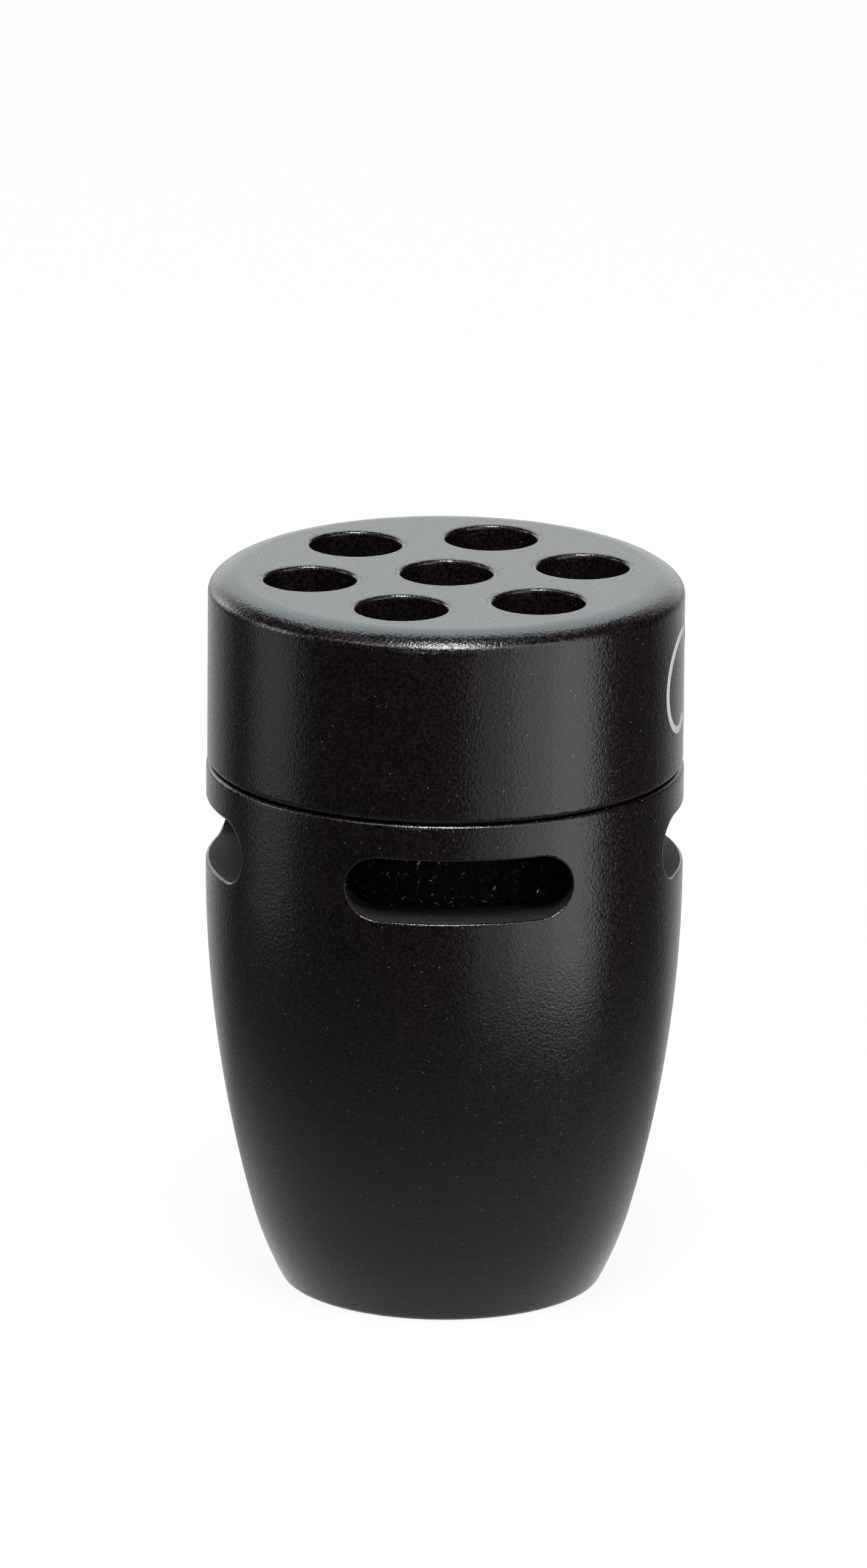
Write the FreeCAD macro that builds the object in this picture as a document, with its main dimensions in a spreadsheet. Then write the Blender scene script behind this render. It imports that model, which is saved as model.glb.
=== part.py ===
import FreeCAD, Part
import math
import operator
import os
from collections import namedtuple

import Sketcher

# Condenser microphone capsule that screws onto a gooseneck: a slotted turned barrel
# with a perforated screwed cap, and an electret element with its filter board inside.
# The origin is the centre of the base, +Z points along the axis to the sound holes,
# and the capsule's front faces -Y.

# Driving dimensions in millimetres and degrees.
SIZES = {
    # Socket in the base, and each step of the bores outwards from it
    "socket_radius": 4.25,
    "thread_length": 4.0,
    "relief_height": 0.6,
    "relief_depth": 0.25,
    "socket_chamfer": 0.3,
    "insulator_ledge": 0.75,
    "retainer_ledge": 0.4,
    "filter_board_ledge": 0.5,
    "divider_ledge": 0.43,
    "chamber_wall": 1.95,
    # Outer form of the barrel
    "widest_below_seam": 3.75,
    "taper_radius": 46.0,
    "foot_height": 2.8,
    "foot_radius": 13.0,
    "base_rounding": 0.35,
    "edge_break": 0.1,
    # Rear sound slots through the barrel
    "slot_above_divider": 0.72,
    "slot_height": 2.22,
    "slot_below_seam": 1.41,
    "slot_length": 7.95,
    "slot_count": 4,
    "slot_turn": 3.6,
    # Screwed cap and its sound holes
    "cap_step": 0.03,
    "cap_height": 6.65,
    "cap_plate": 1.2,
    "cap_wall": 0.95,
    "shoulder_run": 1.1,
    "shoulder_drop": 0.7,
    "shoulder_side_radius": 0.45,
    "hole_radius": 1.59,
    "hole_chamfer": 0.12,
    "hole_outset": 0.36,
    "hole_count": 6,
    "hole_turn": 11.3,
    # Clearances
    "thread_clearance": 0.05,
    "fit": 0.02,
    "cutter_overrun": 0.5,
    # Stack under the cap
    "gauze_thickness": 0.2,
    "foam_thickness": 1.0,
    "clamp_height": 1.0,
    "clamp_wall": 1.2,
    "flange_thickness": 0.5,
    "mount_depth": 3.5,
    "mount_wall": 0.54,
    "mount_lip": 0.5,
    "mount_lip_overlap": 0.55,
    # Condenser element
    "can_wall": 0.3,
    "can_chamfer": 0.2,
    "crimp_width": 0.55,
    "crimp_thickness": 0.25,
    "can_hole_radius": 0.5,
    "can_hole_circle": 2.6,
    "can_hole_count": 6,
    "diaphragm_ring_width": 0.7,
    "diaphragm_ring_thickness": 0.4,
    "diaphragm_thickness": 0.06,
    "spacer_thickness": 0.1,
    "back_plate_thickness": 0.5,
    "back_plate_hole_radius": 0.35,
    "back_plate_hole_circle": 2.4,
    "back_plate_hole_count": 8,
    "holder_rim": 0.8,
    "holder_ledge": 0.5,
    "gate_ring_width": 0.5,
    "element_board_thickness": 0.8,
    "port_radius": 0.4,
    "port_circle": 3.0,
    "port_count": 4,
    "port_turn": 45.0,
    "felt_thickness": 0.25,
    # Rear chamber
    "side_foam_thickness": 0.98,
    "divider_thickness": 1.0,
    "grommet_radius": 1.2,
    "grommet_flange": 0.5,
    "grommet_flange_thickness": 0.4,
    "grommet_hole_radius": 0.75,
    # Filter board and its parts
    "filter_board_lift": 0.8,
    "filter_board_thickness": 0.8,
    "filter_chamber_height": 4.4,
    "sleeve_wall": 0.4,
    "capacitor_radius": 1.6,
    "capacitor_height": 2.2,
    "capacitor_margin": 0.7,
    "filter_lead_spacing": 2.2,
    "transistor_length": 2.9,
    "transistor_width": 1.3,
    "transistor_height": 1.0,
    "tab_length": 0.55,
    "tab_width": 0.4,
    "tab_thickness": 0.15,
    "tab_spacing": 0.95,
    "transistor_margin": 0.9,
    "chip_length": 1.0,
    "chip_width": 0.5,
    "chip_height": 0.45,
    "chip_gap": 0.15,
    "chip_margin": 3.18,
    "chip_start": 1.2,
    "chip_pitch": 1.2,
    # Leads
    "lead_radius": 0.25,
    "lead_gap": 0.4,
    "lead_end_run": 0.7,
    # Contacts in the socket
    "insulator_thickness": 2.0,
    "retainer_height": 0.8,
    "retainer_width": 1.6,
    "spanner_hole_radius": 0.35,
    "centre_contact_radius": 0.8,
    "centre_contact_reach": 0.5,
    "contact_stem_radius": 0.4,
    "ring_contact_margin": 1.35,
    "ring_contact_width": 0.6,
    "ring_contact_reach": 0.3,
    "ring_contact_seat": 0.7,
    "ring_leg_radius": 0.25,
}


class Size:
    """A size: its value in the drawing and the formula that ties it to the sheet."""

    def __init__(self, value, formula):
        self.value = value
        self.formula = formula

    def combined(self, work, sign, other):
        if not isinstance(other, Size):
            other = Size(other, str(other))
        formula = f"({self.formula} {sign} {other.formula})"
        return Size(work(self.value, other.value), formula)

    def __add__(self, other):
        return self.combined(operator.add, "+", other)

    def __sub__(self, other):
        return self.combined(operator.sub, "-", other)

    def __mul__(self, other):
        return self.combined(operator.mul, "*", other)

    def __truediv__(self, other):
        return self.combined(operator.truediv, "/", other)

    def __neg__(self):
        return self * -1


# A corner whose two sides meet without a kink is smooth. A bend makes the side between
# two corners an arc that turns left or right on the way.
Corner = namedtuple("Corner", "x y smooth", defaults=(False,))
Bend = namedtuple("Bend", "radius turn", defaults=("left",))

ZERO = Size(0.0, "0")

doc = FreeCAD.newDocument("microphone_capsule")


def fill_sheet():
    """Write the driving dimensions to the sheet, one named cell each."""
    sheet = doc.addObject("Spreadsheet::Sheet", "Sizes")
    for row, (name, value) in enumerate(SIZES.items(), start=1):
        sheet.set(f"A{row}", name)
        sheet.set(f"B{row}", str(value))
        sheet.setAlias(f"B{row}", name)
    doc.recompute()
    return sheet


sizes = fill_sheet()


def size(name):
    """Read one driving dimension from the sheet."""
    return Size(float(sizes.get(name)), f"Sizes.{name}")


def about(value):
    """A starting value for a coordinate that the rest of its sketch decides."""
    return Size(value, None)


# Levels along the axis from the base up to the sound holes.
socket_end = size("thread_length") + size("relief_height")
insulator_top = socket_end + size("insulator_thickness")
retainer_top = insulator_top + size("retainer_height")
filter_board_bottom = retainer_top + size("filter_board_lift")
filter_board_top = filter_board_bottom + size("filter_board_thickness")
divider_bottom = filter_board_top + size("filter_chamber_height")
divider_top = divider_bottom + size("divider_thickness")
slot_floor = divider_top + size("slot_above_divider")
slot_top = slot_floor + size("slot_height")
seam = slot_top + size("slot_below_seam")
top = seam + size("cap_height")

# Levels down from the sound holes to the back of the element.
ceiling = top - size("cap_plate")
gauze_bottom = ceiling - size("gauze_thickness")
foam_bottom = gauze_bottom - size("foam_thickness")
clamp_bottom = foam_bottom - size("clamp_height")
spigot_top = clamp_bottom - size("flange_thickness")
mount_bottom = spigot_top - size("mount_depth")
can_ceiling = foam_bottom - size("can_wall")
diaphragm_top = can_ceiling - size("diaphragm_ring_thickness")
spacer_top = diaphragm_top - size("diaphragm_thickness")
back_plate_top = spacer_top - size("spacer_thickness")
back_plate_bottom = back_plate_top - size("back_plate_thickness")
can_bottom = mount_bottom + size("mount_lip")
element_board_bottom = can_bottom + size("crimp_thickness")
element_board_top = element_board_bottom + size("element_board_thickness")

# Radii of the barrel and the cap, outwards from the socket.
relief_radius = size("socket_radius") + size("relief_depth")
insulator_bore = size("socket_radius") + size("insulator_ledge")
contact_bore = insulator_bore + size("retainer_ledge")
filter_bore = contact_bore + size("filter_board_ledge")
chamber_bore = filter_bore + size("divider_ledge")
body_radius = chamber_bore + size("chamber_wall")
cap_radius = body_radius - size("cap_step")
cap_bore = cap_radius - size("cap_wall")
spigot_radius = cap_bore - size("thread_clearance")
hole_circle = (size("hole_radius") + cap_bore) / 2 + size("hole_outset")

# Radii of what the barrel holds, inwards from its bores.
mount_radius = chamber_bore - size("fit")
can_radius = mount_radius - size("mount_wall") - size("fit")
can_bore = can_radius - size("can_wall")
crimp_radius = can_bore - size("crimp_width")
element_radius = can_bore - size("fit")
element_bore = element_radius - size("diaphragm_ring_width")
back_plate_seat = element_radius - size("holder_rim")
gate_ring_seat = back_plate_seat - size("holder_ledge")
sleeve_radius = filter_bore - size("fit")
sleeve_bore = sleeve_radius - size("sleeve_wall")
ring_contact_radius = size("socket_radius") - size("ring_contact_margin")
lead_offset = size("lead_radius") + size("lead_gap") / 2


def new_body(label):
    """Start a piece of its own."""
    body = doc.addObject("PartDesign::Body", label)
    body.Label = label
    return body


def origin_part(body, role):
    """Find a plane or axis of the body's own origin."""
    return next(part for part in body.Origin.OriginFeatures if part.Role == role)


def new_sketch(body, role, name):
    """Lay a sketch on one of the body's origin planes."""
    sketch = body.newObject("Sketcher::SketchObject", name)
    sketch.AttachmentSupport = [(origin_part(body, role), "")]
    sketch.MapMode = "FlatFace"
    return sketch


def bind(thing, prop, amount):
    """Tie a property to the sheet."""
    thing.setExpression(prop, amount.formula)


def add_measure(sketch, kind, places, amount):
    """Add a dimension to a sketch and tie it to the sheet."""
    index = sketch.addConstraint(Sketcher.Constraint(kind, *places, amount.value))
    bind(sketch, f"Constraints[{index}]", amount)


def place_point(sketch, side, end, x, y):
    """Hold an end of a side at its place, on an axis where its coordinate is zero."""
    for amount, kind, axis in ((x, "DistanceX", -2), (y, "DistanceY", -1)):
        if amount is ZERO:
            sketch.addConstraint(Sketcher.Constraint("PointOnObject", side, end, axis))
        elif amount.formula is not None:
            add_measure(sketch, kind, (-1, 1, side, end), amount)


def arc_between(start, end, bend):
    """The short arc from start to end, with its centre on the side that it turns to."""
    chord = end - start
    left = FreeCAD.Vector(-chord.y, chord.x, 0).normalize()
    side = 1 if bend.turn == "left" else -1
    rise = math.sqrt(max(bend.radius.value ** 2 - (chord.Length / 2) ** 2, 0))
    centre = (start + end) / 2 + left * rise * side
    first, last = (start, end) if bend.turn == "left" else (end, start)
    angles = [math.atan2(spot.y - centre.y, spot.x - centre.x) for spot in (first, last)]
    circle = Part.Circle(centre, FreeCAD.Vector(0, 0, 1), bend.radius.value)
    return Part.ArcOfCircle(circle, *angles)


def draw(sketch, items, closed=True):
    """Draw an outline through its corners, with an arc wherever a bend stands between."""
    corners = [item for item in items if isinstance(item, Corner)]
    bends = {}
    for place, item in enumerate(items):
        if isinstance(item, Bend):
            bends[place - len(bends) - 1] = item
    spots = [FreeCAD.Vector(corner.x.value, corner.y.value, 0) for corner in corners]
    side_count = len(corners) if closed else len(corners) - 1
    ends = []
    for side in range(side_count):
        start, end = spots[side], spots[(side + 1) % len(spots)]
        bend = bends.get(side)
        shape = arc_between(start, end, bend) if bend else Part.LineSegment(start, end)
        index = sketch.addGeometry(shape)
        backwards = bend is not None and bend.turn == "right"
        ends.append((index, 2, 1) if backwards else (index, 1, 2))
        if bend and bend.radius.formula is not None:
            add_measure(sketch, "Radius", (index,), bend.radius)
    for side in range(side_count if closed else side_count - 1):
        following = (side + 1) % len(corners)
        kind = "Tangent" if corners[following].smooth else "Coincident"
        this, after = ends[side], ends[following]
        meeting = Sketcher.Constraint(kind, this[0], this[2], after[0], after[1])
        sketch.addConstraint(meeting)
    for place, corner in enumerate(corners):
        if place < side_count:
            place_point(sketch, ends[place][0], ends[place][1], corner.x, corner.y)
        else:
            place_point(sketch, ends[-1][0], ends[-1][2], corner.x, corner.y)


def draw_circle(sketch, radius, x=ZERO, y=ZERO):
    """Draw a circle about a placed centre."""
    centre = FreeCAD.Vector(x.value, y.value, 0)
    circle = Part.Circle(centre, FreeCAD.Vector(0, 0, 1), radius.value)
    index = sketch.addGeometry(circle)
    add_measure(sketch, "Radius", (index,), radius)
    place_point(sketch, index, 3, x, y)


def draw_block(sketch, length, width, x=ZERO, y=ZERO):
    """Draw a rectangle about a placed centre."""
    left, right = x - length / 2, x + length / 2
    near, far = y - width / 2, y + width / 2
    spots = [(left, near), (right, near), (right, far), (left, far)]
    draw(sketch, [Corner(*spot) for spot in spots])


def turned(body, items):
    """Turn a piece about its axis from half of its section."""
    sketch = new_sketch(body, "XZ_Plane", "section")
    draw(sketch, items)
    turning = body.newObject("PartDesign::Revolution", "turning")
    turning.Profile = sketch
    turning.ReferenceAxis = (sketch, ["V_Axis"])
    turning.Angle = 360
    body.Tip = turning
    return turning


def padded(body, sketch, height):
    """Raise a sketch into a solid of the given height."""
    pad = body.newObject("PartDesign::Pad", "pad")
    pad.Profile = sketch
    bind(pad, "Length", height)
    body.Tip = pad
    return pad


def drilled(body, radius, x=ZERO, y=ZERO):
    """Drill a hole right through a flat piece that stands on its XY plane."""
    sketch = new_sketch(body, "XY_Plane", "hole")
    draw_circle(sketch, radius, x, y)
    pocket = body.newObject("PartDesign::Pocket", "drilling")
    pocket.Profile = sketch
    pocket.Type = "ThroughAll"
    pocket.Reversed = True
    body.Tip = pocket
    return pocket


def repeated(body, feature, count):
    """Repeat a feature evenly round the axis."""
    pattern = body.newObject("PartDesign::PolarPattern", "pattern")
    pattern.Originals = [feature]
    pattern.Axis = (origin_part(body, "Z_Axis"), [""])
    pattern.Angle = 360
    if isinstance(count, Size):
        bind(pattern, "Occurrences", count)
    else:
        pattern.Occurrences = count
    body.Tip = pattern
    return pattern


def disc(label, radius, bottom, height, bore=None):
    """A flat round piece, bored through its middle if a bore is given."""
    body = new_body(label)
    sketch = new_sketch(body, "XY_Plane", "outline")
    draw_circle(sketch, radius)
    if bore is not None:
        draw_circle(sketch, bore)
    padded(body, sketch, height)
    bind(body, "Placement.Base.z", bottom)
    return body


def sound_hole(body, offset):
    """Cut one round hole with a chamfered rim through the face of the cap."""
    sketch = new_sketch(body, "XZ_Plane", "hole_section")
    bind(sketch, "AttachmentOffset.Base.x", offset)
    radius, rim = size("hole_radius"), size("hole_chamfer")
    above, below = top + size("cutter_overrun"), ceiling - size("cutter_overrun")
    draw(sketch, [
        Corner(ZERO, below),
        Corner(radius, below),
        Corner(radius, top - rim),
        Corner(radius + rim, top),
        Corner(radius + rim, above),
        Corner(ZERO, above),
    ])
    groove = body.newObject("PartDesign::Groove", "sound_hole")
    groove.Profile = sketch
    groove.ReferenceAxis = (sketch, ["V_Axis"])
    groove.Angle = 360
    body.Tip = groove
    return groove


def front_cap():
    """Turned cap with a flat perforated face, a soft shoulder and a plain skirt."""
    body = new_body("front_cap")
    radius, edge = cap_radius, size("edge_break")
    run, drop = size("shoulder_run"), size("shoulder_drop")
    side_bend = size("shoulder_side_radius")
    face_bend = shoulder_face_radius(run.value, drop.value, side_bend.value)
    knee_x, knee_y = shoulder_knee(radius.value, top.value, run.value, drop.value,
                                   side_bend.value, face_bend)
    turned(body, [
        Corner(cap_bore, seam),
        Corner(radius - edge, seam),
        Corner(radius, seam + edge),
        Corner(radius, top - drop, True),
        Bend(side_bend),
        Corner(about(knee_x), about(knee_y), True),
        Bend(about(face_bend)),
        Corner(radius - run, top, True),
        Corner(ZERO, top),
        Corner(ZERO, ceiling),
        Corner(cap_bore, ceiling),
    ])
    repeated(body, sound_hole(body, hole_circle), size("hole_count"))
    sound_hole(body, ZERO)
    bind(body, "Placement.Rotation.Angle", size("hole_turn"))
    return body


def shoulder_face_radius(run, drop, side):
    """Radius of the flat part of a shoulder that blends the face into the side bend."""
    return (drop ** 2 + run ** 2 - 2 * run * side) / (2 * (drop - side))


def shoulder_knee(radius, height, run, drop, side, face):
    """Where the two bends of the shoulder meet."""
    face_x, face_y = radius - run, height - face
    side_x, side_y = radius - side, height - drop
    share = face / (face - side)
    return face_x + (side_x - face_x) * share, face_y + (side_y - face_y) * share


def body_shell():
    """Turned barrel: ogive taper, stepped bores, threaded spigot and four sound slots."""
    body = new_body("body_shell")
    radius, edge = body_radius, size("edge_break")
    widest = seam - size("widest_below_seam")
    taper, foot, corner = size("taper_radius"), size("foot_radius"), size("base_rounding")
    foot_x, heel_x, heel_y, base_x = taper_guess(
        radius.value, widest.value, taper.value, size("foot_height").value,
        foot.value, corner.value)
    turned(body, [
        Corner(size("socket_radius") + size("socket_chamfer"), ZERO),
        Corner(about(base_x), ZERO, True),
        Bend(corner),
        Corner(about(heel_x), about(heel_y), True),
        Bend(foot),
        Corner(about(foot_x), size("foot_height"), True),
        Bend(taper),
        Corner(radius, widest, True),
        Corner(radius, seam - edge),
        Corner(radius - edge, seam),
        Corner(spigot_radius, seam),
        Corner(spigot_radius, spigot_top),
        Corner(chamber_bore, spigot_top),
        Corner(chamber_bore, divider_bottom),
        Corner(filter_bore, divider_bottom),
        Corner(filter_bore, filter_board_bottom),
        Corner(contact_bore, filter_board_bottom),
        Corner(contact_bore, retainer_top),
        Corner(insulator_bore, retainer_top),
        Corner(insulator_bore, socket_end),
        Corner(relief_radius, socket_end),
        Corner(relief_radius, size("thread_length")),
        Corner(size("socket_radius"), size("thread_length")),
        Corner(size("socket_radius"), size("socket_chamfer")),
    ])
    repeated(body, side_slot(body), size("slot_count"))
    bind(body, "Placement.Rotation.Angle", size("slot_turn"))
    return body


def taper_guess(radius, widest, taper, foot_height, foot, corner):
    """Where the arcs of the ogive and its base corner meet."""
    centre_x = radius - taper
    foot_x = centre_x + math.sqrt(taper ** 2 - (widest - foot_height) ** 2)
    share = (taper - foot) / taper
    inner_x = centre_x + (foot_x - centre_x) * share
    inner_y = widest + (foot_height - widest) * share
    base_x = inner_x + math.sqrt((foot - corner) ** 2 - (inner_y - corner) ** 2)
    reach = foot / (foot - corner)
    heel_x = inner_x + (base_x - inner_x) * reach
    heel_y = inner_y + (corner - inner_y) * reach
    return foot_x, heel_x, heel_y, base_x


def side_slot(body):
    """Mill one round-ended slot through the front wall of the barrel."""
    sketch = new_sketch(body, "XZ_Plane", "slot_outline")
    half_height = size("slot_height") / 2
    half_run = size("slot_length") / 2 - half_height
    round_end = Bend(about(half_height.value))
    draw(sketch, [
        Corner(-half_run, slot_floor),
        Corner(half_run, slot_floor, True),
        round_end,
        Corner(half_run, slot_top),
        Corner(-half_run, slot_top, True),
        round_end,
    ])
    pocket = body.newObject("PartDesign::Pocket", "slot")
    pocket.Profile = sketch
    pocket.Type = "Length"
    pocket.Reversed = True
    bind(pocket, "Length", body_radius + size("cutter_overrun"))
    body.Tip = pocket
    return pocket


def element_mount():
    """Rubber carrier: a sleeve in the spigot with a flange over it and a lip below."""
    body = new_body("element_mount")
    inner = can_radius + size("fit")
    lip_radius = can_radius - size("mount_lip_overlap")
    turned(body, [
        Corner(lip_radius, mount_bottom),
        Corner(mount_radius, mount_bottom),
        Corner(mount_radius, spigot_top),
        Corner(spigot_radius, spigot_top),
        Corner(spigot_radius, clamp_bottom),
        Corner(inner, clamp_bottom),
        Corner(inner, can_bottom),
        Corner(lip_radius, can_bottom),
    ])
    return body


def element_can():
    """Drawn aluminium can, perforated in front and crimped over the board behind."""
    body = new_body("element_can")
    radius, chamfer = can_radius, size("can_chamfer")
    turned(body, [
        Corner(crimp_radius, can_bottom),
        Corner(radius, can_bottom),
        Corner(radius, foam_bottom - chamfer),
        Corner(radius - chamfer, foam_bottom),
        Corner(ZERO, foam_bottom),
        Corner(ZERO, can_ceiling),
        Corner(can_bore, can_ceiling),
        Corner(can_bore, element_board_bottom),
        Corner(crimp_radius, element_board_bottom),
    ])
    ring_hole = can_hole(body, size("can_hole_circle"))
    repeated(body, ring_hole, size("can_hole_count"))
    can_hole(body, ZERO)
    return body


def can_hole(body, offset):
    """Punch one hole through the front of the can."""
    sketch = new_sketch(body, "XY_Plane", "front_hole")
    bind(sketch, "AttachmentOffset.Base.z", element_board_top)
    draw_circle(sketch, size("can_hole_radius"), offset)
    pocket = body.newObject("PartDesign::Pocket", "punching")
    pocket.Profile = sketch
    pocket.Type = "ThroughAll"
    pocket.Reversed = True
    body.Tip = pocket
    return pocket


def back_plate():
    """Perforated fixed electrode under the diaphragm."""
    plate = disc("back_plate", back_plate_seat - size("fit"), back_plate_bottom,
                 size("back_plate_thickness"))
    hole = drilled(plate, size("back_plate_hole_radius"), size("back_plate_hole_circle"))
    repeated(plate, hole, size("back_plate_hole_count"))
    return plate


def back_plate_holder():
    """Insulating ring that carries the back plate on a ledge."""
    body = new_body("back_plate_holder")
    turned(body, [
        Corner(gate_ring_seat, element_board_top),
        Corner(element_radius, element_board_top),
        Corner(element_radius, back_plate_top),
        Corner(back_plate_seat, back_plate_top),
        Corner(back_plate_seat, back_plate_bottom),
        Corner(gate_ring_seat, back_plate_bottom),
    ])
    return body


def element_board():
    """Round board that closes the can, with sound ports round its middle."""
    board = disc("element_board", element_radius, element_board_bottom,
                 size("element_board_thickness"))
    port = drilled(board, size("port_radius"), size("port_circle"))
    repeated(board, port, size("port_count"))
    bind(board, "Placement.Rotation.Angle", size("port_turn"))
    return board


def rear_felt():
    """Felt disc over the rear ports, with holes for the two leads."""
    felt = disc("rear_felt", crimp_radius - size("fit"), can_bottom, size("felt_thickness"))
    hole = drilled(felt, size("lead_radius") + size("fit"), lead_offset)
    repeated(felt, hole, 2)
    return felt


def transistor(label, offset, bottom):
    """Small moulded transistor with one tab in front and two behind."""
    body = new_body(label)
    width, tab = size("transistor_width"), size("tab_length")
    case = new_sketch(body, "XY_Plane", "case_outline")
    draw_block(case, size("transistor_length"), width, ZERO, offset)
    padded(body, case, size("transistor_height"))
    tabs = new_sketch(body, "XY_Plane", "tab_outline")
    reach = (width + tab) / 2
    draw_block(tabs, size("tab_width"), tab, ZERO, offset - reach)
    for place in (size("tab_spacing"), -size("tab_spacing")):
        draw_block(tabs, size("tab_width"), tab, place, offset + reach)
    padded(body, tabs, size("tab_thickness"))
    bind(body, "Placement.Base.z", bottom)
    return body


def chips(label, places, bottom):
    """Chip components that stand on one board."""
    body = new_body(label)
    sketch = new_sketch(body, "XY_Plane", "outlines")
    for x, y in places:
        draw_block(sketch, size("chip_length"), size("chip_width"), x, y)
    padded(body, sketch, size("chip_height"))
    bind(body, "Placement.Base.z", bottom)
    return body


def element_chips():
    """Two chips in a row beside the transistor of the element."""
    x = (size("chip_length") + size("chip_gap")) / 2
    tab_end = size("transistor_width") / 2 + size("tab_length")
    y = -(tab_end + size("chip_gap") + size("chip_width") / 2)
    return chips("element_chips", [(x, y), (-x, y)], element_board_top)


def filter_chips():
    """Two columns of chips on the filter board, either side of its transistor."""
    column = sleeve_bore - size("chip_margin")
    start, pitch = size("chip_start"), size("chip_pitch")
    places = [(column * side, -start - pitch * step) for side in (1, -1) for step in (0, 1)]
    return chips("filter_chips", places, filter_board_top)


def filter_transistor():
    """Transistor of the filter board, close to the sleeve."""
    tab_end = size("transistor_width") / 2 + size("tab_length")
    offset = sleeve_bore - size("transistor_margin") - tab_end
    return transistor("filter_transistor", -offset, filter_board_top)


def coupling_capacitor():
    """Can capacitor that stands on the filter board, opposite the transistor."""
    body = new_body("coupling_capacitor")
    radius = size("capacitor_radius")
    sketch = new_sketch(body, "XY_Plane", "outline")
    draw_circle(sketch, radius, ZERO, sleeve_bore - size("capacitor_margin") - radius)
    padded(body, sketch, size("capacitor_height"))
    bind(body, "Placement.Base.z", filter_board_top)
    return body


def chamber_divider():
    """Plate that parts the sound chamber from the filter board."""
    return disc("chamber_divider", mount_radius, divider_bottom,
                size("divider_thickness"), size("grommet_radius") + size("fit"))


def lead_grommet():
    """Rubber bush that seals the leads in the divider."""
    body = new_body("lead_grommet")
    hole, waist = size("grommet_hole_radius"), size("grommet_radius")
    rim = waist + size("grommet_flange")
    low = divider_bottom - size("grommet_flange_thickness")
    high = divider_top + size("grommet_flange_thickness")
    turned(body, [
        Corner(hole, low),
        Corner(rim, low),
        Corner(rim, divider_bottom),
        Corner(waist, divider_bottom),
        Corner(waist, divider_top),
        Corner(rim, divider_top),
        Corner(rim, high),
        Corner(hole, high),
    ])
    return body


def lead(label, side):
    """Insulated wire from the element through the grommet to the filter board."""
    body = new_body(label)
    pass_x, end_x = lead_offset * side, size("filter_lead_spacing") * side
    high = divider_bottom - size("grommet_flange_thickness")
    low = filter_board_top + size("lead_end_run")
    shift = abs(end_x.value - pass_x.value)
    drop = high.value - low.value
    radius = about((shift ** 2 + drop ** 2) / (4 * shift))
    outward, inward = ("left", "right") if side > 0 else ("right", "left")
    path = new_sketch(body, "XZ_Plane", "route")
    draw(path, [
        Corner(pass_x, element_board_bottom),
        Corner(pass_x, high, True),
        Bend(radius, outward),
        Corner((pass_x + end_x) / 2, (high + low) / 2),
        Bend(radius, inward),
        Corner(end_x, low, True),
        Corner(end_x, filter_board_top),
    ], closed=False)
    ring = new_sketch(body, "XY_Plane", "wire_section")
    bind(ring, "AttachmentOffset.Base.z", element_board_bottom)
    draw_circle(ring, size("lead_radius"), pass_x)
    doc.recompute()
    pipe = body.newObject("PartDesign::AdditivePipe", "wire")
    pipe.Profile = ring
    pipe.Spine = (path, [f"Edge{number}" for number in range(1, len(path.Shape.Edges) + 1)])
    body.Tip = pipe
    return body


def contact_insulator():
    """Plastic disc at the end of the socket that carries both contacts."""
    body = new_body("contact_insulator")
    bottom, fit = socket_end, size("fit")
    ring = ring_contact_radius
    ring_inner = ring - size("ring_contact_width")
    seat = bottom + size("ring_contact_seat")
    hole = size("centre_contact_radius") + fit
    outer = insulator_bore - fit
    turned(body, [
        Corner(hole, bottom),
        Corner(ring_inner - fit, bottom),
        Corner(ring_inner - fit, seat),
        Corner(ring + fit, seat),
        Corner(ring + fit, bottom),
        Corner(outer, bottom),
        Corner(outer, insulator_top),
        Corner(hole, insulator_top),
    ])
    leg_hole = drilled(body, size("ring_leg_radius") + fit, ring_leg_offset())
    repeated(body, leg_hole, 2)
    return body


def ring_leg_offset():
    """Distance of the ring contact's legs from the axis."""
    return ring_contact_radius - size("ring_contact_width") / 2


def ring_contact():
    """Ring that meets the outer contact of the gooseneck, with two legs to the board."""
    body = new_body("ring_contact")
    outer = ring_contact_radius
    bottom = socket_end - size("ring_contact_reach")
    seat = socket_end + size("ring_contact_seat")
    ring = new_sketch(body, "XY_Plane", "ring_outline")
    draw_circle(ring, outer)
    draw_circle(ring, outer - size("ring_contact_width"))
    padded(body, ring, seat - bottom)
    leg = new_sketch(body, "XY_Plane", "leg_outline")
    draw_circle(leg, size("ring_leg_radius"), ring_leg_offset())
    repeated(body, padded(body, leg, filter_board_bottom - bottom), 2)
    bind(body, "Placement.Base.z", bottom)
    return body


def centre_contact():
    """Round-nosed pin that meets the centre contact of the gooseneck."""
    body = new_body("centre_contact")
    radius, stem = size("centre_contact_radius"), size("contact_stem_radius")
    tip = socket_end - size("centre_contact_reach")
    turned(body, [
        Corner(ZERO, tip),
        Corner(radius / 2, tip),
        Bend(radius / 2),
        Corner(radius, tip + radius / 2),
        Corner(radius, insulator_top),
        Corner(stem, insulator_top),
        Corner(stem, filter_board_bottom),
        Corner(ZERO, filter_board_bottom),
    ])
    return body


def retaining_ring():
    """Screwed ring that clamps the insulator, with two spanner holes."""
    outer = insulator_bore - size("fit")
    ring = disc("retaining_ring", outer, insulator_top, size("retainer_height"),
                outer - size("retainer_width"))
    hole = drilled(ring, size("spanner_hole_radius"), outer - size("retainer_width") / 2)
    repeated(ring, hole, 2)
    return ring


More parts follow.
